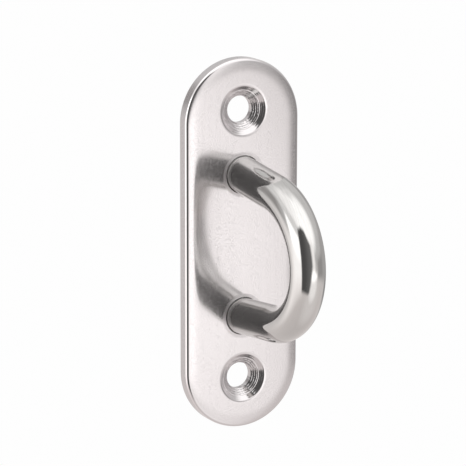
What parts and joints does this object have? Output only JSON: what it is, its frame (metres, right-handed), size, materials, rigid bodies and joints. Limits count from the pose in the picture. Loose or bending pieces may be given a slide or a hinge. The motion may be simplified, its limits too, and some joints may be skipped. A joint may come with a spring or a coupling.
{
  "type": "pad eye",
  "caption": "Obround screw-down steel plate with countersunk holes and a bent rod eye standing out of its face, welded at the back.",
  "frame": {"origin": "centre of the plate's back face", "axes": "+Z along the plate's length, +X across its width, +Y out of the back face into the surface it is screwed to; the eye stands out towards -Y"},
  "size_m": [0.02, 0.0261, 0.06],
  "materials": {
    "plate_steel": "polished stainless sheet, soft mirror with a fine satin haze",
    "rod_steel": "bright polished stainless rod, clear mirror",
    "weld_metal": "stainless weld metal, ground flush, dull with grinding lines"
  },
  "bodies": {
    "root": {"base_plate": "plate_steel", "eye_bow": "rod_steel", "lower_weld": "weld_metal", "upper_weld": "weld_metal"}
  },
  "joints": []
}
